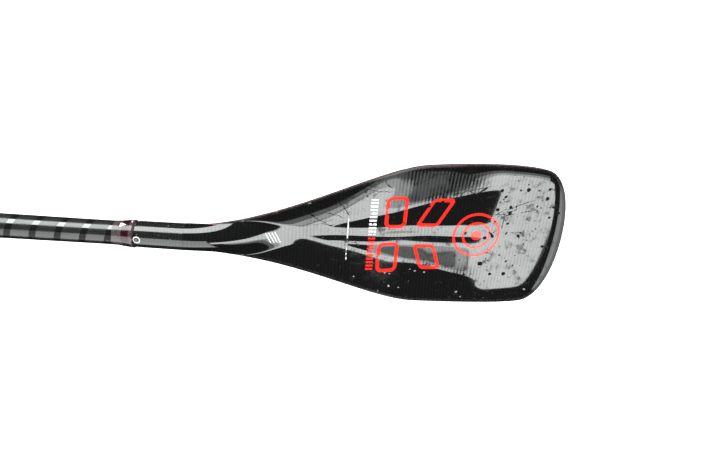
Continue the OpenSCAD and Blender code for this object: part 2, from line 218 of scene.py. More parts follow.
def outline(n1, n2, n3):
    """Outer points, inner points and rounding points of the edge strip."""
    P, D = [], []
    for seg, n, last in ((OUTLINE_A, n1, 1.0), (OUTLINE_B, n2, 1.0), (OUTLINE_C, n3, 0.985)):
        for i in range(n + (1 if seg is OUTLINE_C else 0)):
            t = i / n * last
            P.append(bezier(seg, t))
            D.append(bezier_direction(seg, t))
    P, D = np.array(P), np.array(D)
    Nn = np.c_[-D[:, 1], D[:, 0]] / np.linalg.norm(D, axis=1)[:, None]
    ins = RAIL_W * smooth_step((P[:, 0] - ROOT_S) / 100)
    return P, P - Nn * ins[:, None], P - Nn * np.minimum(RAIL_R, 0.4 * ins)[:, None]


RIM, RIM_INNER, RIM_ROUND = outline(110, 40, 60)


def new_mesh(name, verts, faces, smooth=True):
    """New object made of points and faces."""
    me = bpy.data.meshes.new(name)
    me.from_pydata([tuple(v) for v in verts], [], [tuple(int(i) for i in f) for f in faces])
    me.update()
    if smooth:
        me.polygons.foreach_set("use_smooth", [True] * len(me.polygons))
    ob = bpy.data.objects.new(name, me)
    COLLECTION.objects.link(ob)
    return ob


def slab(name, ftop, fbot, nj=96, k=1.0):
    """Closed piece between two surfaces over the inner outline."""
    ns = len(RIM_INNER)
    c = k * np.sin(np.linspace(-math.pi / 2, math.pi / 2, nj + 1))
    S = np.repeat(RIM_INNER[:, 0], nj + 1)
    Y = (RIM_INNER[:, 1][:, None] * c[None, :]).ravel()
    zt, zb = ftop(S, Y), fbot(S, Y)
    v = np.vstack([np.c_[BEND_X + S, Y, zt], np.c_[BEND_X + S, Y, zb]]) * MM
    w, n = nj + 1, ns * (nj + 1)
    i, j = np.meshgrid(np.arange(ns - 1), np.arange(nj), indexing="ij")
    a = (i * w + j).ravel()
    F = [np.c_[a, a + w, a + w + 1, a + 1], np.c_[n + a, n + a + 1, n + a + w + 1, n + a + w]]
    b = np.arange(ns - 1) * w
    F.append(np.c_[b, n + b, n + b + w, b + w])
    b = b + nj
    F.append(np.c_[b, b + w, n + b + w, n + b])
    b = np.arange(nj)
    F.append(np.c_[b, b + 1, n + b + 1, n + b])
    b = (ns - 1) * w + np.arange(nj)
    F.append(np.c_[b, n + b, n + b + 1, b + 1])
    ob = new_mesh(name, v, np.vstack(F))
    keep_sharp_edges(ob)
    return ob


def keep_sharp_edges(ob):
    """Keep the object's sharper edges hard."""
    ob.data.set_sharp_from_angle(angle=math.radians(SHARP_ANGLE))


def inner(h):
    """Height of a skin's inner side, where h is that of its outer side."""
    return np.maximum(h - SKIN_T, 0.15 * h)


face = slab("blade_face", z_top, lambda s, y: mid(s, y) + inner(above(s, y)))
back = slab("blade_back", lambda s, y: mid(s, y) - inner(below(s, y)), z_bot)
core = slab("blade_foam", lambda s, y: mid(s, y) + inner(above(s, y)) - 0.05,
            lambda s, y: mid(s, y) - inner(below(s, y)) + 0.05, k=CORE_FILL)


def make_rail():
    """Edge strip with a rounded section, from the neck round the tip and back."""
    i0 = next(i for i in range(len(RIM)) if RIM_INNER[i, 0] > ROOT_S + 27)
    nq = 12
    rows = []
    for i in range(i0, len(RIM)):
        o, a = RIM[i], RIM_INNER[i]
        t = half_thick(o[0])
        pts = [(a, z_top(a[0], a[1]))]
        for k in range(nq + 1):
            th = math.pi / 2 - math.pi * k / nq
            p = o + (RIM_ROUND[i] - o) * (1 - math.cos(th))
            sup = math.copysign(abs(math.sin(th)) ** 0.8, math.sin(th))
            pts.append((p, mid(p[0], p[1]) + t * sup))
        pts.append((a, z_bot(a[0], a[1])))
        rows.append(pts)
    m = len(rows[0])
    v = []
    for r in rows:
        v += [(BEND_X + p[0], p[1], z) for p, z in r]
    for r in reversed(rows):
        v += [(BEND_X + p[0], -p[1], z) for p, z in r]
    k = 2 * len(rows)
    f = []
    for i in range(k - 1):
        for q in range(m):
            q2 = (q + 1) % m
            f.append((i * m + q, i * m + q2, (i + 1) * m + q2, (i + 1) * m + q))
    f.append(tuple(range(m))[::-1])
    f.append(tuple((k - 1) * m + q for q in range(m)))
    ob = new_mesh("blade_rail", np.array(v) * MM, f)
    keep_sharp_edges(ob)
    return ob


rail = make_rail()
for ob, nd in ((face, "blade_face_skin"), (back, "blade_back_skin"), (rail, "blade_edge_rail"),
               (core, "blade_core")):
    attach(ob, "paddle")
    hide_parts(nd)

# leaf spring under the button, in its own copy of the mesh
spring = bpy.data.objects.new("leaf_spring", NODES["snap_spring"].data.copy())
COLLECTION.objects.link(spring)
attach(spring, "paddle")
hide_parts("snap_spring")
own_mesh(spring)

# ------------------------------------------------------------------ materials (m)
BUTTON_X = 0.5244  # middle of the snap button
RIB_PITCH, NECK_RIB_PITCH = 0.0043, 0.0034


class Graph:
    """Small helper that builds a node tree."""

    def __init__(self, name):
        self.mat = bpy.data.materials.new(name)
        self.mat.use_nodes = True
        self.t = self.mat.node_tree
        self.bsdf = self.t.nodes["Principled BSDF"]
        tc = self.t.nodes.new("ShaderNodeTexCoord")
        self.obj = tc.outputs["Object"]
        sep = self.t.nodes.new("ShaderNodeSeparateXYZ")
        self.t.links.new(self.obj, sep.inputs[0])
        self.x, self.y, self.z = sep.outputs

    def put(self, sock, v):
        """Link v to a socket, or set it there."""
        if isinstance(v, bpy.types.NodeSocket):
            self.t.links.new(v, sock)
        elif v is not None:
            if hasattr(sock.default_value, "__len__") and not hasattr(v, "__len__"):
                v = [v] * len(sock.default_value)
            if hasattr(v, "__len__") and len(v) == 3 and len(sock.default_value) == 4:
                v = (*v, 1.0)
            sock.default_value = v

    def calc(self, op, a, b=None, c=None, clamp=False):
        """Result of one maths node."""
        n = self.t.nodes.new("ShaderNodeMath")
        n.operation = op
        n.use_clamp = clamp
        for i, v in enumerate((a, b, c)):
            if v is not None:
                self.put(n.inputs[i], v)
        return n.outputs[0]

    def add(self, a, b):
        return self.calc("ADD", a, b)

    def sub(self, a, b, clamp=False):
        return self.calc("SUBTRACT", a, b, clamp=clamp)

    def mul(self, a, b, clamp=False):
        return self.calc("MULTIPLY", a, b, clamp=clamp)

    def absolute(self, a):
        return self.calc("ABSOLUTE", a)

    def gap(self, a, b):
        """Distance between two values."""
        return self.absolute(self.sub(a, b))

    def radius(self, a, b):
        """Length of the vector (a, b)."""
        return self.calc("SQRT", self.add(self.calc("POWER", a, 2.0), self.calc("POWER", b, 2.0)))

    def rng(self, v, a, b, c=0.0, d=1.0, smooth=False):
        """Value v mapped from the range a to b onto c to d."""
        n = self.t.nodes.new("ShaderNodeMapRange")
        n.interpolation_type = "SMOOTHSTEP" if smooth else "LINEAR"
        for i, u in enumerate((v, a, b, c, d)):
            self.put(n.inputs[i], u)
        return n.outputs[0]

    def mix(self, f, a, b):
        """Colour between a and b."""
        n = self.t.nodes.new("ShaderNodeMix")
        n.data_type = "RGBA"
        self.put(n.inputs[0], f)
        self.put(n.inputs[6], a)
        self.put(n.inputs[7], b)
        return n.outputs[2]

    def lerp(self, f, a, b):
        """Number between a and b."""
        n = self.t.nodes.new("ShaderNodeMix")
        n.data_type = "FLOAT"
        self.put(n.inputs[0], f)
        self.put(n.inputs[2], a)
        self.put(n.inputs[3], b)
        return n.outputs[0]

    def scaled(self, sx, sy, sz):
        """Object coordinates, stretched along each axis."""
        n = self.t.nodes.new("ShaderNodeMapping")
        self.put(n.inputs[0], self.obj)
        n.inputs["Scale"].default_value = (sx, sy, sz)
        return n.outputs[0]

    def noise(self, scale, detail=4.0, rough=0.55, vec=None):
        n = self.t.nodes.new("ShaderNodeTexNoise")
        self.put(n.inputs["Vector"], vec if vec is not None else self.obj)
        n.inputs["Scale"].default_value = scale
        n.inputs["Detail"].default_value = detail
        n.inputs["Roughness"].default_value = rough
        return n.outputs[0]

    def voro(self, scale, feature="F1", vec=None, rand=1.0):
        n = self.t.nodes.new("ShaderNodeTexVoronoi")
        n.feature = feature
        self.put(n.inputs["Vector"], vec if vec is not None else self.obj)
        n.inputs["Scale"].default_value = scale
        n.inputs["Randomness"].default_value = rand
        return n

    def bumpn(self, h, strength, dist, normal=None):
        """Normal bent by the height h."""
        n = self.t.nodes.new("ShaderNodeBump")
        n.inputs["Strength"].default_value = strength
        n.inputs["Distance"].default_value = dist
        self.put(n.inputs["Height"], h)
        if normal is not None:
            self.put(n.inputs["Normal"], normal)
        return n.outputs[0]

    def out(self, **kw):
        """Set the shader's inputs and give the material."""
        for k, v in kw.items():
            self.put(self.bsdf.inputs[k.replace("_", " ")], v)
        return self.mat


def ring_mask(g, d, t, soft=0.00025):
    """1 where the distance d is within t/2 of zero."""
    return g.rng(g.absolute(d), t / 2 - soft, t / 2 + soft, 1, 0)


def rbox(g, x, y, cx, cy, hx, hy, r, shear=0.0):
    """Signed distance to a rounded box, all in metres."""
    u = g.sub(x, cx)
    v = g.sub(y, cy)
    if shear:
        u = g.calc("MULTIPLY_ADD", v, -shear, u)
    qx = g.sub(g.absolute(u), hx - r)
    qy = g.sub(g.absolute(v), hy - r)
    px, py = g.calc("MAXIMUM", qx, 0.0), g.calc("MAXIMUM", qy, 0.0)
    out = g.calc("SQRT", g.add(g.mul(px, px), g.mul(py, py)))
    return g.sub(g.add(out, g.calc("MINIMUM", g.calc("MAXIMUM", qx, qy), 0.0)), r)


def either(g, *ms):
    """Mask where any of the masks is."""
    v = ms[0]
    for u in ms[1:]:
        v = g.calc("MAXIMUM", v, u)
    return v


def both(g, *ms):
    """Mask where all of the masks are."""
    v = ms[0]
    for u in ms[1:]:
        v = g.mul(v, u)
    return v


def invert(g, v):
    """Mask where v is not."""
    return g.sub(1.0, v)


def line(g, x, y, x0, y0, x1, y1, t, wob=None, amp=0.0):
    """Thin line from one point to another with a wobble."""
    L = math.hypot(x1 - x0, y1 - y0)
    ux, uy = (x1 - x0) / L, (y1 - y0) / L
    dx, dy = g.sub(x, x0), g.sub(y, y0)
    al = g.add(g.mul(dx, ux), g.mul(dy, uy))
    ac = g.sub(g.mul(dx, -uy), g.mul(dy, -ux))
    if wob is not None:
        ac = g.calc("MULTIPLY_ADD", g.sub(wob, 0.5), amp, ac)
    return both(g, g.rng(g.absolute(ac), t * 0.4, t * 0.8, 1, 0), g.rng(al, 0, 0.004),
                g.rng(al, L - 0.004, L, 1, 0))


def chips(g, scale, thr, lo, warp=0.35, stretch=(1, 1, 1)):
    """Irregular specks: cells picked at random, with random sizes."""
    v = g.scaled(*stretch)
    n = g.t.nodes.new("ShaderNodeTexNoise")
    g.put(n.inputs["Vector"], v)
    n.inputs["Scale"].default_value = scale * 2.2
    n.inputs["Detail"].default_value = 3
    mx = g.t.nodes.new("ShaderNodeMix")
    mx.data_type = "VECTOR"
    mx.inputs[0].default_value = warp / scale
    g.put(mx.inputs[4], v)
    g.put(mx.inputs[5], n.outputs["Color"])
    vo = g.voro(scale, vec=mx.outputs[1])
    sep = g.t.nodes.new("ShaderNodeSeparateXYZ")
    g.put(sep.inputs[0], vo.outputs["Color"])
    r = g.rng(sep.outputs[0], lo, 1.0, 0.0, thr)
    return g.rng(g.sub(vo.outputs["Distance"], r), -0.02, 0.03, 1, 0)


def ribs(g, pitch=RIB_PITCH):
    """Ribs across the part, from 0 to 1."""
    return g.calc("MULTIPLY_ADD", g.calc("SINE", g.mul(g.x, 2 * math.pi / pitch)), 0.5, 0.5)


# places on the blade are in metres from the bend (x) and from the middle line (y)
# red frames: centre x, centre y, half length, half width, corner radius, slant
FRAMES = ((0.2225, 0.031, 0.0115, 0.0190, 0.006, 0.0),
          (0.2165, -0.031, 0.0115, 0.0190, 0.006, 0.0),
          (0.272, 0.030, 0.0120, 0.0165, 0.004, 0.55),
          (0.268, -0.032, 0.0120, 0.0165, 0.004, -0.35))
FRAME_LINE = 0.0046
TARGET_X, TARGET_Y = 0.328, 0.001
TARGET_RINGS = ((0.029, 0.0034), (0.017, 0.003))  # radius, line width
DASH_X = 0.1945
MARK_X = 0.1645
# scratches: start x, start y, end x, end y
SCRATCHES = ((0.098, 0.040, 0.148, 0.010), (0.150, 0.046, 0.166, 0.026), (0.138, 0.030, 0.160, 0.022),
             (0.175, 0.062, 0.215, 0.058), (0.345, 0.030, 0.395, 0.052), (0.20, 0.075, 0.214, 0.063))
SCRATCH_W, SCRATCH_WOBBLE = 0.0007, 0.010


def blade_print(g, x, y):
    """Masks of the red and of the white print."""
    red = either(g, *[ring_mask(g, rbox(g, x, y, *box), FRAME_LINE) for box in FRAMES])
    away = g.radius(g.sub(x, TARGET_X), g.sub(y, TARGET_Y))
    target = either(g, *[ring_mask(g, g.sub(away, r), t) for r, t in TARGET_RINGS],
                    g.rng(away, 0.0065, 0.007, 1, 0))
    # a row of dashes across the blade, red on one side and white on the other
    dash = g.gap(g.calc("PINGPONG", g.add(y, 0.1), 0.0048), 0.0024)
    dash = both(g, g.rng(dash, 0.0009, 0.0013), g.rng(g.gap(x, DASH_X), 0.0043, 0.0047, 1, 0))
    dash = both(g, dash, g.rng(y, 0.0485, 0.049, 1, 0), g.rng(y, -0.0495, -0.049))
    red = either(g, red, target, both(g, dash, g.rng(y, -0.001, -0.0005, 1, 0)))
    mark = both(g, g.rng(g.gap(x, MARK_X), 0.0005, 0.0008, 1, 0), g.rng(y, 0.0215, 0.022, 1, 0),
                g.rng(y, -0.0345, -0.034), g.rng(g.noise(120, 3), 0.44, 0.5))
    # short slanted bars near the neck
    lean = g.calc("MULTIPLY_ADD", y, 0.45, x)
    bars = g.gap(g.calc("PINGPONG", g.sub(lean, 0.066), 0.0036), 0.0018)
    bars = both(g, g.rng(bars, 0.0011, 0.0014), g.rng(lean, 0.067, 0.0672), g.rng(lean, 0.0805, 0.081, 1, 0),
                g.rng(y, 0.0055, 0.006, 1, 0), g.rng(y, -0.0085, -0.008))
    return red, either(g, both(g, dash, g.rng(y, 0.0005, 0.001)), mark, bars)


def blade_chips(g, x, y, cloud, tip, bright, wear):
    """Mask of chips, scratches and fine cracks."""
    spots = [both(g, chips(g, 115, 0.36, 0.56), either(g, tip, g.rng(cloud, 0.56, 0.62))),
             both(g, chips(g, 260, 0.36, 0.74), g.rng(cloud, 0.42, 0.6), bright),
             both(g, chips(g, 52, 0.26, 0.60, 0.8), tip),
             both(g, chips(g, 120, 0.25, 0.80, 0.3, (0.35, 1, 1)), g.rng(cloud, 0.5, 0.6))]
    wobble = g.noise(90, 4, 0.6)
    scratches = [line(g, x, y, *ends, SCRATCH_W, wobble, SCRATCH_WOBBLE) for ends in SCRATCHES]
    cells = g.voro(34, "DISTANCE_TO_EDGE", vec=g.scaled(0.6, 1, 1)).outputs["Distance"]
    cracks = both(g, g.rng(cells, 0.006, 0.014, 1, 0), g.rng(g.noise(30, 5, 0.7), 0.56, 0.6), bright)
    return g.mul(either(g, *spots, cracks, *scratches), wear, clamp=True)


def blade_mat(name, printed=True, wear=1.0):
    """Ribbed carbon under clear lacquer, chipped and worn, with or without the print."""
    g = Graph(name)
    x = g.sub(g.x, BEND_X * MM)
    y = g.y
    side = g.absolute(y)
    rib = ribs(g)
    uneven_rib = g.calc("MULTIPLY_ADD", g.noise(260, 2, vec=g.scaled(1, 0.15, 1)), 0.6, g.mul(rib, 0.7))
    fine = g.noise(700, 3)
    cloud = g.noise(26, 5, 0.6)
    mottle = g.noise(95, 6, 0.65)
    # zones: beside the slanted frames, the tip, and everything past the shoulder
    outer = both(g, g.rng(x, 0.205, 0.245, smooth=True), g.rng(x, 0.315, 0.345, 1, 0, smooth=True),
                 g.rng(side, 0.036, 0.05, smooth=True))
    tip = g.rng(x, 0.27, 0.33, smooth=True)
    bright = g.rng(x, 0.10, 0.16, smooth=True)
    # wear
    chip = blade_chips(g, x, y, cloud, tip, bright, wear)
    scuff = both(g, chips(g, 190, 0.30, 0.80, 0.3, (0.8, 1, 1)), g.rng(y, -0.035, -0.055),
                 g.rng(cloud, 0.42, 0.55))
    worn = both(g, g.rng(mottle, 0.52, 0.66, smooth=True), g.rng(cloud, 0.40, 0.56), bright,
                g.rng(side, 0.07, 0.085, 1, 0))
    # colour
    base = g.mix(rib, (0.0025, 0.0025, 0.0028), (0.0050, 0.0050, 0.0052))
    base = g.mix(g.rng(fine, 0.45, 0.75, 0, 0.5), base, (0.008, 0.008, 0.0082))
    base = g.mix(chip, base, (0.006, 0.0058, 0.0055))
    base = g.mix(g.mul(scuff, 0.75), base, (0.30, 0.31, 0.30))
    # gloss of the lacquer
    amp = g.mul(g.lerp(outer, 0.20, 0.88), g.lerp(g.rng(cloud, 0.4, 0.6), 0.6, 1.3))
    gloss = g.sub(1.0, g.mul(amp, uneven_rib), clamp=True)
    gloss = both(g, gloss, g.lerp(worn, 1.0, 0.3), g.lerp(chip, 1.0, 0.02))
    if printed:
        red, white = blade_print(g, x, y)
        keep = both(g, invert(g, chip), g.rng(mottle, 0.36, 0.40))
        base = g.mix(both(g, red, keep), base, g.mix(rib, (0.66, 0.016, 0.010), (0.76, 0.022, 0.014)))
        base = g.mix(both(g, white, keep), base, (0.72, 0.72, 0.70))
        ink = both(g, either(g, red, white), keep)
        gloss = both(g, gloss, g.lerp(ink, 1.0, g.lerp(tip, 0.12, 0.45)))
    rough = g.lerp(either(g, chip, scuff), g.lerp(worn, 0.07, 0.2), 0.6)
    height = g.calc("MULTIPLY_ADD", fine, 0.3, g.mul(rib, 0.6))
    height = g.sub(height, g.mul(chip, 1.5))
    normal = g.bumpn(g.noise(18, 2, 0.4), 0.25, 0.0006)
    normal = g.bumpn(height, 0.2, 0.00006, normal)
    return g.out(Base_Color=base, Roughness=rough, Specular_IOR_Level=g.mul(gloss, 0.5),
                 Coat_Weight=gloss, Coat_Roughness=0.035, Normal=normal)


def edge_mat():
    """Black edge strip with a dark red side and nicks."""
    g = Graph("m_edge")
    n = g.noise(320, 4)
    geo = g.t.nodes.new("ShaderNodeNewGeometry")
    sp = g.t.nodes.new("ShaderNodeSeparateXYZ")
    g.put(sp.inputs[0], geo.outputs["Normal"])
    side = g.rng(g.absolute(sp.outputs[2]), 0.55, 0.75, 1, 0)
    side = both(g, side, g.rng(g.noise(40, 3), 0.3, 0.42))
    base = g.mix(g.rng(n, 0.35, 0.7), (0.004, 0.004, 0.004), (0.014, 0.013, 0.013))
    base = g.mix(side, base, (0.07, 0.009, 0.011))
    nick = chips(g, 150, 0.3, 0.8, 0.4, (0.5, 0.5, 1))
    base = g.mix(g.mul(nick, 0.6), base, (0.2, 0.19, 0.18))
    return g.out(Base_Color=base, Roughness=g.rng(n, 0.3, 0.7, 0.16, 0.34),
                 Coat_Weight=g.mul(invert(g, nick), 0.35), Coat_Roughness=0.08, Specular_IOR_Level=0.35,
                 Normal=g.bumpn(n, 0.3, 0.00008))


def angle(g):
    """Angle round the shaft in turns, 0 at +Y, growing over +Z."""
    return g.calc("DIVIDE", g.calc("ARCTAN2", g.z, g.y), 2 * math.pi)


def neck_mat():
    """Ribbed carbon with a pale ring round the button."""
    g = Graph("m_neck")
    rib = ribs(g, NECK_RIB_PITCH)
    n = g.noise(600, 3)
    cl = g.noise(120, 5, 0.65)
    away = g.radius(g.sub(g.x, BUTTON_X), g.y)
    ring = both(g, ring_mask(g, g.sub(away, 0.00355), 0.0010), g.rng(g.z, 0.0, 0.001), g.rng(cl, 0.3, 0.4))
    base = g.mix(rib, (0.003, 0.003, 0.003), (0.010, 0.010, 0.010))
    base = g.mix(g.rng(n, 0.5, 0.8, 0, 0.6), base, (0.02, 0.02, 0.02))
    nick = chips(g, 240, 0.3, 0.84)
    base = g.mix(nick, base, (0.05, 0.05, 0.05))
    base = g.mix(ring, base, (0.8, 0.8, 0.78))
    gloss = g.sub(1.0, g.mul(g.calc("MULTIPLY_ADD", rib, 0.5, g.mul(cl, 0.4)), 0.45), clamp=True)
    gloss = both(g, gloss, invert(g, nick))
    height = g.calc("MULTIPLY_ADD", n, 0.4, g.mul(rib, 0.5))
    return g.out(Base_Color=base, Roughness=g.rng(cl, 0.3, 0.7, 0.10, 0.22), Coat_Weight=gloss,
                 Coat_Roughness=0.04, Normal=g.bumpn(height, 0.2, 0.00006))


WEAVE_PITCH, WEAVE_LEAN = 0.0012, 0.0287  # fibre spacing, and how far a fibre runs along the shaft in a turn
HELIX_X, HELIX_PITCH, HELIX_TURN = 0.4677, 0.0280, 37.0 / 360
TICK_STEP, TICK_LONG_STEP = 0.02, 0.1
TICK_X0, TICK_X1 = -0.53, -0.06


def shaft_mat(name, helix=True, ticks=False):
    """Woven carbon tube, with a glossy spiral stripe or with scale ticks."""
    g = Graph(name)
    turn = angle(g)
    n = g.noise(900, 4)
    cl = g.noise(60, 5, 0.6)
    lean = g.mul(turn, WEAVE_LEAN)
    wave = 2 * math.pi / WEAVE_PITCH
    fibres = [g.calc("SINE", g.mul(along, wave)) for along in (g.add(g.x, lean), g.sub(g.x, lean))]
    weave = g.mul(*fibres)
    base = g.mix(g.rng(weave, -1, 1), (0.006, 0.0065, 0.006), (0.013, 0.0135, 0.013))
    base = g.mix(g.rng(n, 0.45, 0.75, 0, 0.5), base, (0.020, 0.021, 0.020))
    rough = g.rng(cl, 0.3, 0.7, 0.17, 0.25)
    coat = 0.0
    spec = 0.8
    if helix:
        phase = g.add(g.calc("DIVIDE", g.sub(g.x, HELIX_X), HELIX_PITCH), g.sub(turn, HELIX_TURN))
        stripe = g.rng(g.gap(g.calc("FRACT", g.add(phase, 100.5)), 0.5), 0.128, 0.142, 1, 0)
        black = g.mix(g.rng(n, 0.4, 0.7), (0.003, 0.003, 0.003), (0.008, 0.008, 0.008))
        base = g.mix(stripe, base, black)
        rough = g.lerp(stripe, rough, 0.06)
        # the stripe is less glossy past 0.17 of a turn
        shine = g.sub(1.0, g.mul(g.rng(turn, 0.17, 0.20), 0.9))
        coat = g.mul(stripe, shine)
        spec = g.lerp(stripe, spec, g.mul(shine, 0.9))
    if ticks:
        near_tick = g.gap(g.calc("FRACT", g.calc("DIVIDE", g.add(g.x, 2.0), TICK_STEP)), 0.5)
        near_long = g.gap(g.calc("FRACT", g.calc("DIVIDE", g.add(g.x, 2.01), TICK_LONG_STEP)), 0.5)
        half = g.add(0.0032, g.mul(g.rng(near_long, 0.44, 0.46), 0.0035))
        tick = both(g, g.rng(near_tick, 0.468, 0.48),
                    g.rng(g.sub(g.absolute(g.y), half), -0.0001, 0.0001, 1, 0),
                    g.rng(g.z, 0, 0.001), g.rng(g.x, TICK_X1 - 0.0005, TICK_X1, 1, 0),
                    g.rng(g.x, TICK_X0 - 0.0001, TICK_X0))
        base = g.mix(both(g, tick, g.rng(cl, 0.3, 0.36)), base, (0.7, 0.7, 0.68))
    nick = both(g, chips(g, 300, 0.3, 0.88, 0.3, (0.4, 1, 1)), g.rng(cl, 0.45, 0.6))
    base = g.mix(g.mul(nick, 0.5), base, (0.12, 0.12, 0.12))
    height = g.calc("MULTIPLY_ADD", n, 0.6, g.mul(weave, 0.2))
    return g.out(Base_Color=base, Roughness=rough, Specular_IOR_Level=spec, Coat_Weight=coat,
                 Coat_Roughness=0.04, Normal=g.bumpn(height, 0.2, 0.00003))


COLLAR_R = 0.0159
ARROW_X, ARROW_TURN, ARROW_L = 0.5042, 23.0 / 360, 0.0070
DASH_TURN, COLLAR_DASH_X = 3.0 / 360, 0.5166


def round_collar(g, turn):
    """Distance round the collar from a given turn."""
    return g.absolute(g.mul(g.sub(angle(g), turn), 2 * math.pi * COLLAR_R))


def gloss_plastic(name, c0, c1, decal=False):
    """Glossy plastic with nicks, and with the arrow and the dash of the joint."""
    g = Graph(name)
    n = g.noise(420, 4)
    cl = g.noise(90, 5, 0.65)
    base = g.mix(g.rng(n, 0.35, 0.7), c0, c1)
    nick = chips(g, 260, 0.3, 0.82)
    base = g.mix(g.mul(nick, 0.5), base, (0.16, 0.15, 0.15))
    if decal:
        u = g.sub(g.x, ARROW_X)
        arrow = g.sub(round_collar(g, ARROW_TURN), g.mul(g.sub(ARROW_L, u), 0.46))
        arrow = both(g, g.rng(arrow, -0.0001, 0.0001, 1, 0), g.rng(u, 0.0, 0.0002))
        dash = both(g, g.rng(round_collar(g, DASH_TURN), 0.0018, 0.0020, 1, 0),
                    g.rng(g.gap(g.x, COLLAR_DASH_X), 0.0004, 0.0005, 1, 0))
        base = g.mix(either(g, arrow, dash), base, (0.82, 0.82, 0.8))
    return g.out(Base_Color=base, Roughness=g.rng(cl, 0.3, 0.7, 0.14, 0.26), Coat_Weight=0.5,
                 Coat_Roughness=0.06, Normal=g.bumpn(n, 0.2, 0.00004))


def button_mat():
    """Metal button with two small holes, whose shade is painted as near-black dots."""
    g = Graph("m_button")
    n = g.noise(800, 4)
    d = g.radius(g.sub(g.gap(g.x, BUTTON_X), 0.0013), g.y)
    # painted shade: the two small holes are drawn as near-black, non-metallic dots
    hole_shade = both(g, g.rng(d, 0.0006, 0.0008, 1, 0), g.rng(g.z, 0.015, 0.0155))
    base = g.mix(g.rng(n, 0.4, 0.7), (0.10, 0.10, 0.10), (0.17, 0.17, 0.165))
    base = g.mix(hole_shade, base, (0.01, 0.01, 0.01))
    return g.out(Base_Color=base, Metallic=invert(g, hole_shade), Roughness=g.rng(n, 0.3, 0.7, 0.28, 0.42),
                 Normal=g.bumpn(n, 0.2, 0.00003))


def moulded(name, col, rough, scale=1300, speck=(0.1, 0.1, 0.1)):
    """Moulded nylon or rubber with fine spark texture, scuffs and dust."""
    g = Graph(name)
    n = g.noise(scale, 5)
    cl = g.noise(55, 5, 0.6)
    base = g.mix(g.rng(n, 0.3, 0.7), [v * 0.8 for v in col], [v * 1.3 for v in col])
    base = g.mix(g.rng(cl, 0.55, 0.8, 0, 0.25), base, speck)
    sc = chips(g, 330, 0.28, 0.86, 0.3, (0.3, 1, 1))
    base = g.mix(g.mul(sc, 0.4), base, speck)
    return g.out(Base_Color=base, Roughness=g.rng(cl, 0.3, 0.7, rough * 0.85, rough * 1.12),
                 Specular_IOR_Level=0.4, Normal=g.bumpn(n, 0.35, 0.00008))


def brushed(name, col, rough=0.28, axis=(0.05, 1, 1)):
    """Brushed metal."""
    g = Graph(name)
    n = g.noise(900, 4, vec=g.scaled(*axis))
    cl = g.noise(70, 5, 0.6)
    base = g.mix(g.rng(n, 0.3, 0.7), [v * 0.85 for v in col], [min(1, v * 1.1) for v in col])
    base = g.mix(g.rng(cl, 0.55, 0.8, 0, 0.3), base, [v * 0.7 for v in col])
    return g.out(Base_Color=base, Metallic=1.0, Roughness=g.rng(n, 0.3, 0.7, rough * 0.8, rough * 1.25),
                 Normal=g.bumpn(n, 0.2, 0.00003))


def pad_mat():
    """Soft rubber with grooves round the bar, with painted shade in the grooves."""
    g = Graph("m_pad")
    n = g.noise(1500, 5)
    vo = g.voro(420).outputs["Distance"]
    gr = g.calc("PINGPONG", g.add(g.y, 0.2), 0.003)
    ridge_height_and_groove_shade = g.rng(gr, 0.0004, 0.0012, smooth=True)
    base = g.mix(g.rng(n, 0.3, 0.7), (0.010, 0.010, 0.011), (0.022, 0.022, 0.023))
    # painted shade: the grooves are coloured darker than the ridges
    base = g.mix(ridge_height_and_groove_shade, (0.006, 0.006, 0.006), base)
    hgt = g.calc("MULTIPLY_ADD", ridge_height_and_groove_shade, 1.0, g.calc("MULTIPLY_ADD", vo, 0.3, g.mul(n, 0.2)))
    return g.out(Base_Color=base, Roughness=g.rng(n, 0.3, 0.7, 0.62, 0.8), Specular_IOR_Level=0.3,
                 Normal=g.bumpn(hgt, 0.6, 0.0003))


def foam_mat():
    """Pale foam with small cells."""
    g = Graph("m_foam")
    vo = g.voro(900).outputs["Distance"]
    n = g.noise(60, 4)
    base = g.mix(g.rng(vo, 0.1, 0.6), (0.55, 0.48, 0.30), (0.78, 0.72, 0.52))
    base = g.mix(g.rng(n, 0.5, 0.8, 0, 0.4), base, (0.6, 0.55, 0.4))
    return g.out(Base_Color=base, Roughness=0.85, Normal=g.bumpn(vo, 0.5, 0.0002))


FINISH = {
    "neck_tube": neck_mat(),
    "neck_liner": brushed("m_liner", (0.62, 0.63, 0.65), 0.3),
    "joint_gasket": moulded("m_gasket", (0.012, 0.012, 0.012), 0.55),
    "taper_collar": gloss_plastic("m_collar", (0.030, 0.021, 0.023), (0.060, 0.044, 0.047), decal=True),
    "collar_band": gloss_plastic("m_band", (0.010, 0.0018, 0.0026), (0.020, 0.0034, 0.0048), decal=True),
    "main_shaft_tube": shaft_mat("m_shaft"),
    "spigot": brushed("m_spigot", (0.60, 0.61, 0.63), 0.25),
    "spigot_plug": moulded("m_plug", (0.02, 0.02, 0.02), 0.6),
    "snap_button": button_mat(),
    "clamp_body": moulded("m_clamp", (0.016, 0.016, 0.017), 0.42),
    "clamp_bush": moulded("m_bush", (0.42, 0.41, 0.37), 0.5, speck=(0.3, 0.29, 0.26)),
    "clamp_bolt": brushed("m_bolt", (0.62, 0.63, 0.64), 0.25, (1, 1, 0.1)),
    "clamp_washers": brushed("m_washer", (0.66, 0.67, 0.68), 0.3, (1, 1, 1)),
    "lever_barrel": brushed("m_barrel", (0.60, 0.61, 0.62), 0.25),
    "clamp_lever": moulded("m_lever", (0.020, 0.020, 0.021), 0.36),
    "extension_tube": shaft_mat("m_extension", helix=False, ticks=True),
    "extension_guide": moulded("m_guide", (0.02, 0.02, 0.021), 0.5),
    "grip_core": moulded("m_grip", (0.017, 0.017, 0.018), 0.4),
    "grip_pad": pad_mat(),
    "grip_caps": moulded("m_caps", (0.024, 0.024, 0.025), 0.34),
    "grip_pin": brushed("m_pin", (0.6, 0.61, 0.62), 0.28, (1, 1, 0.1)),
}
for n, o in NODES.items():
    if n in FINISH:
        o.data.materials.clear()
        o.data.materials.append(FINISH[n])
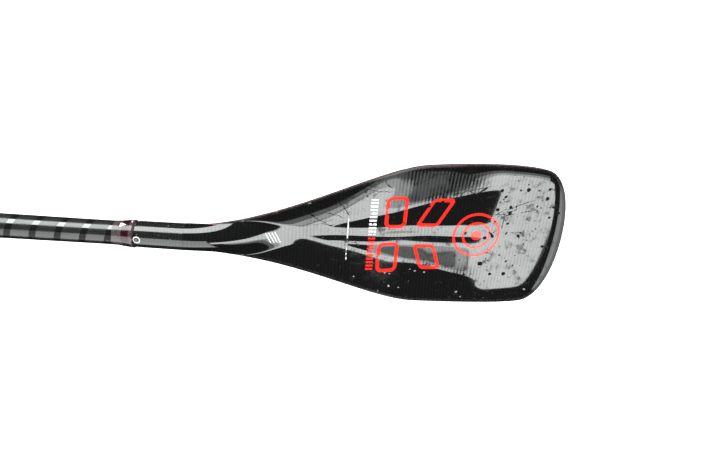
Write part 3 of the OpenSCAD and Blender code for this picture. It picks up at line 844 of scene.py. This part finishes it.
for o, m_, sl in ((face, blade_mat("m_blade_face"), "carbon_gloss"),
                  (back, blade_mat("m_blade_back", False, 0.6), "carbon_gloss"),
                  (rail, edge_mat(), "rail_black"),
                  (core, foam_mat(), "foam"),
                  (spring, brushed("m_spring", (0.55, 0.56, 0.58), 0.22), "spring_steel")):
    o.data.materials.clear()
    o.data.materials.append(m_)

# ------------------------------------------------------------------ camera
CAM_AT = Vector((0.7491, 0.3044, 0.5766))
CAM_FORWARD = Vector((0.0382, -0.4508, -0.8918)).normalized()
CAM_RIGHT = Vector((0.9973, 0.0728, 0.0058))
cam_data = bpy.data.cameras.new("camera")
cam_data.lens, cam_data.sensor_width = 28.0, 36.0
cam_data.clip_start, cam_data.clip_end = 0.01, 60
cam = bpy.data.objects.new("camera", cam_data)
COLLECTION.objects.link(cam)
right = (CAM_RIGHT - CAM_FORWARD * CAM_RIGHT.dot(CAM_FORWARD)).normalized()
cam_matrix = Matrix((right, right.cross(CAM_FORWARD), -CAM_FORWARD)).transposed().to_4x4()
cam_matrix.translation = CAM_AT
cam.matrix_world = cam_matrix
SCENE.camera = cam

# ------------------------------------------------------------------ stage and light
FLOOR_Z, FLOOR_HALF = -0.9, 17
WALL_R, WALL_Z, WALL_SIDES = 16, (-0.95, 14), 48
AIM = Vector((0.82, 0, -0.02))
NECK_AIM = Vector((0.56, 0, 0))


def area(name, loc, target, sx, sy, power):
    """Rectangular light at loc that shines at target."""
    d = bpy.data.lights.new(name, "AREA")
    d.shape, d.size, d.size_y, d.energy = "RECTANGLE", sx, sy, power
    o = bpy.data.objects.new(name, d)
    COLLECTION.objects.link(o)
    o.location = loc
    o.rotation_euler = (Vector(target) - Vector(loc)).to_track_quat("-Z", "Y").to_euler()
    return o


corners = [(i * FLOOR_HALF, j * FLOOR_HALF, FLOOR_Z) for i, j in ((-1, -1), (1, -1), (1, 1), (-1, 1))]
fl = new_mesh("floor", corners, [(0, 1, 2, 3)], False)
g = Graph("m_floor")
fn = g.noise(3, 3)
fl.data.materials.append(g.out(Base_Color=g.mix(fn, (0.9, 0.9, 0.9), (0.93, 0.93, 0.93)), Roughness=0.9,
                               Emission_Color=(1, 1, 1, 1), Emission_Strength=0.55))
fl.visible_glossy = False
# plain far wall behind the floor, seen only when the camera is low
wall_turns = [a * math.pi / (WALL_SIDES // 2) for a in range(WALL_SIDES)]
wall_v = [(WALL_R * math.cos(a), WALL_R * math.sin(a), z) for z in WALL_Z for a in wall_turns]
wall_next = [(i + 1) % WALL_SIDES for i in range(WALL_SIDES)]
wall = new_mesh("wall", wall_v, [(i, k, WALL_SIDES + k, WALL_SIDES + i) for i, k in enumerate(wall_next)])
g = Graph("m_wall")
pale = g.mix(g.noise(2, 2), (0.88, 0.88, 0.88), (0.9, 0.9, 0.9))
wall.data.materials.append(g.out(Base_Color=pale, Roughness=0.9, Emission_Color=(1, 1, 1, 1),
                                 Emission_Strength=0.85))
wall.visible_glossy = False
wall.visible_diffuse = False
wall.visible_shadow = False


def panel(name, th0, th1, ax0, ax1, dist, rad, aim=AIM):
    """Area light that fills a window of directions as seen from aim.

    th is the angle from +Y over +Z and ax the angle towards +X, in degrees.
    """
    tm, am = math.radians((th0 + th1) / 2), math.radians((ax0 + ax1) / 2)
    d = Vector((math.sin(am), math.cos(am) * math.cos(tm), math.cos(am) * math.sin(tm)))
    h = 2 * dist * math.tan(math.radians(abs(th1 - th0) / 2)) * math.cos(am)
    w = 2 * dist * math.tan(math.radians(abs(ax1 - ax0) / 2))
    ld = bpy.data.lights.new(name, "AREA")
    ld.shape, ld.size, ld.size_y, ld.energy = "RECTANGLE", w, h, rad * math.pi * w * h
    ld.color = (0.96, 1.0, 0.975)
    o = bpy.data.objects.new(name, ld)
    COLLECTION.objects.link(o)
    x = Vector((math.cos(am), -math.sin(am) * math.cos(tm), -math.sin(am) * math.sin(tm)))
    place = Matrix((x, d.cross(x), d)).transposed().to_4x4()
    place.translation = aim + d * dist
    o.matrix_world = place
    return o


panel("sky_main", 113.5, 127, 4, 42, 5.0, 7.2)
panel("sky_mid", 127, 132, 12, 42, 5.0, 4.0)
panel("sky_low", 132, 138, 14, 42, 5.0, 1.2)
panel("side_strip", -6, 36, -42, 34, 4.0, 8.0)
panel("neck_sky", 97, 159, -42, 7, 1.3, 3.0, NECK_AIM)
fill = area("fill", (0.75, 0.9, 2.6), (0.75, 0, 0), 2.4, 1.6, 95)
fill.visible_glossy = False
world = bpy.data.worlds.new("w")
SCENE.world = world
world.use_nodes = True
sky = world.node_tree.nodes["Background"]
sky.inputs[0].default_value = (1, 1, 1, 1)
sky.inputs[1].default_value = 0.02
SCENE.view_settings.view_transform = "Standard"
